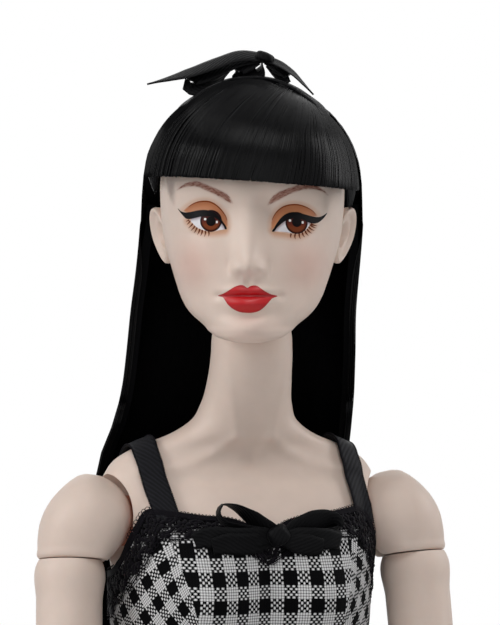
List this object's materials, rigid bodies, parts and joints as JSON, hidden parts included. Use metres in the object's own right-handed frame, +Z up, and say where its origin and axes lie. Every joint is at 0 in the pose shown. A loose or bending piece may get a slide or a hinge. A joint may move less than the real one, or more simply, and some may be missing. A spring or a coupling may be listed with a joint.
{
  "type": "fashion doll",
  "caption": "Jointed fashion doll with long straight hair, a ribbon headband and a gingham one-piece suit trimmed with lace, standing on flat shoes.",
  "frame": {"origin": "bottom centre of the doll's bounding box, on the surface that the soles stand on", "axes": "+Z up, the doll faces -Y, its left side is +X"},
  "size_m": [0.0978, 0.061, 0.4127],
  "materials": {
    "skin": "satin pale vinyl",
    "hair": "glossy straight fibre",
    "ribbon": "twill ribbon with picot edges",
    "lace": "open floral lace",
    "gingham": "woven black and white gingham",
    "shoe": "soft gloss",
    "socket_plastic": "moulded",
    "pin_plastic": "moulded"
  },
  "bodies": {
    "torso": {"torso": "skin", "suit": "gingham", "neckline_lace": "lace", "strap_left": "ribbon", "strap_right": "ribbon", "bust_bow": "ribbon", "bust_bow_knot": "ribbon"},
    "neck_post": {"neck_post": "pin_plastic"},
    "head": {"head": "skin", "hair_crown": "hair", "hair_fringe": "hair", "hair_length": "hair", "headband": "ribbon", "head_bow": "ribbon", "head_bow_knot": "ribbon"},
    "shoulder_peg_left": {"shoulder_peg_left": "socket_plastic"},
    "shoulder_cap_left": {"shoulder_cap_left": "skin"},
    "upper_arm_left": {"upper_arm_left": "skin", "elbow_pin_left": "pin_plastic"},
    "forearm_left": {"forearm_left": "skin"},
    "hand_left": {"hand_left": "skin"},
    "hip_peg_left": {"hip_peg_left": "socket_plastic"},
    "thigh_left": {"thigh_left": "skin", "knee_pin_left": "pin_plastic"},
    "lower_leg_left": {"lower_leg_left": "skin", "shoe_left": "shoe"},
    "shoulder_peg_right": {"shoulder_peg_right": "socket_plastic"},
    "shoulder_cap_right": {"shoulder_cap_right": "skin"},
    "upper_arm_right": {"upper_arm_right": "skin", "elbow_pin_right": "pin_plastic"},
    "forearm_right": {"forearm_right": "skin"},
    "hand_right": {"hand_right": "skin"},
    "hip_peg_right": {"hip_peg_right": "socket_plastic"},
    "thigh_right": {"thigh_right": "skin", "knee_pin_right": "pin_plastic"},
    "lower_leg_right": {"lower_leg_right": "skin", "shoe_right": "shoe"}
  },
  "joints": [
    {"name": "neck_nod", "type": "hinge", "parent": "torso", "child": "neck_post", "pos_m": [0, -0.0045, 0.3525], "axis": [-1, 0, 0], "range_deg": [-12, 12], "deforming": ["hair_length"]},
    {"name": "head_turn", "type": "hinge", "parent": "neck_post", "child": "head", "pos_m": [0, -0.0045, 0.3525], "axis": [0, 0, 1], "range_deg": [-45, 75], "deforming": ["hair_length"]},
    {"name": "shoulder_swing_left", "type": "hinge", "parent": "torso", "child": "shoulder_peg_left", "pos_m": [0.0355, 0.003, 0.3095], "axis": [-1, 0, 0], "range_deg": [-25, 150]},
    {"name": "shoulder_raise_left", "type": "hinge", "parent": "shoulder_peg_left", "child": "shoulder_cap_left", "pos_m": [0.0355, 0.003, 0.3095], "axis": [0, -0.9877, 0.1564], "range_deg": [0, 60]},
    {"name": "arm_swivel_left", "type": "hinge", "parent": "shoulder_cap_left", "child": "upper_arm_left", "pos_m": [0.03821, 0.00169, 0.30125], "axis": [-0.061, 0.1561, 0.9858], "range_deg": [-90, 90]},
    {"name": "elbow_left", "type": "hinge", "parent": "upper_arm_left", "child": "forearm_left", "pos_m": [0.04124, -0.00604, 0.25245], "axis": [-0.9981, -0.0095, -0.0603], "range_deg": [0, 95]},
    {"name": "wrist_left", "type": "hinge", "parent": "forearm_left", "child": "hand_left", "pos_m": [0.0442, -0.01361, 0.20464], "axis": [-0.061, 0.1561, 0.9858], "range_deg": [-90, 90]},
    {"name": "hip_swing_left", "type": "hinge", "parent": "torso", "child": "hip_peg_left", "pos_m": [0.0186, 0.006, 0.213], "axis": [-1, 0, 0], "range_deg": [-15, 85]},
    {"name": "hip_spread_left", "type": "hinge", "parent": "hip_peg_left", "child": "thigh_left", "pos_m": [0.0186, 0.006, 0.213], "axis": [0, -1, 0], "range_deg": [0, 27]},
    {"name": "knee_left", "type": "hinge", "parent": "thigh_left", "child": "lower_leg_left", "pos_m": [0.0146, 0.006, 0.112], "axis": [1, 0, 0], "range_deg": [0, 95]},
    {"name": "shoulder_swing_right", "type": "hinge", "parent": "torso", "child": "shoulder_peg_right", "pos_m": [-0.0355, 0.003, 0.3095], "axis": [-1, 0, 0], "range_deg": [-25, 150]},
    {"name": "shoulder_raise_right", "type": "hinge", "parent": "shoulder_peg_right", "child": "shoulder_cap_right", "pos_m": [-0.0355, 0.003, 0.3095], "axis": [0, 0.9877, -0.1564], "range_deg": [0, 60]},
    {"name": "arm_swivel_right", "type": "hinge", "parent": "shoulder_cap_right", "child": "upper_arm_right", "pos_m": [-0.03821, 0.00169, 0.30125], "axis": [-0.061, -0.1561, -0.9858], "range_deg": [-90, 90]},
    {"name": "elbow_right", "type": "hinge", "parent": "upper_arm_right", "child": "forearm_right", "pos_m": [-0.04124, -0.00604, 0.25245], "axis": [-0.9981, 0.0095, 0.0603], "range_deg": [0, 95]},
    {"name": "wrist_right", "type": "hinge", "parent": "forearm_right", "child": "hand_right", "pos_m": [-0.0442, -0.01361, 0.20464], "axis": [-0.061, -0.1561, -0.9858], "range_deg": [-90, 90]},
    {"name": "hip_swing_right", "type": "hinge", "parent": "torso", "child": "hip_peg_right", "pos_m": [-0.0186, 0.006, 0.213], "axis": [-1, 0, 0], "range_deg": [-15, 85]},
    {"name": "hip_spread_right", "type": "hinge", "parent": "hip_peg_right", "child": "thigh_right", "pos_m": [-0.0186, 0.006, 0.213], "axis": [0, 1, 0], "range_deg": [0, 27]},
    {"name": "knee_right", "type": "hinge", "parent": "thigh_right", "child": "lower_leg_right", "pos_m": [-0.0146, 0.006, 0.112], "axis": [1, 0, 0], "range_deg": [0, 95]}
  ]
}
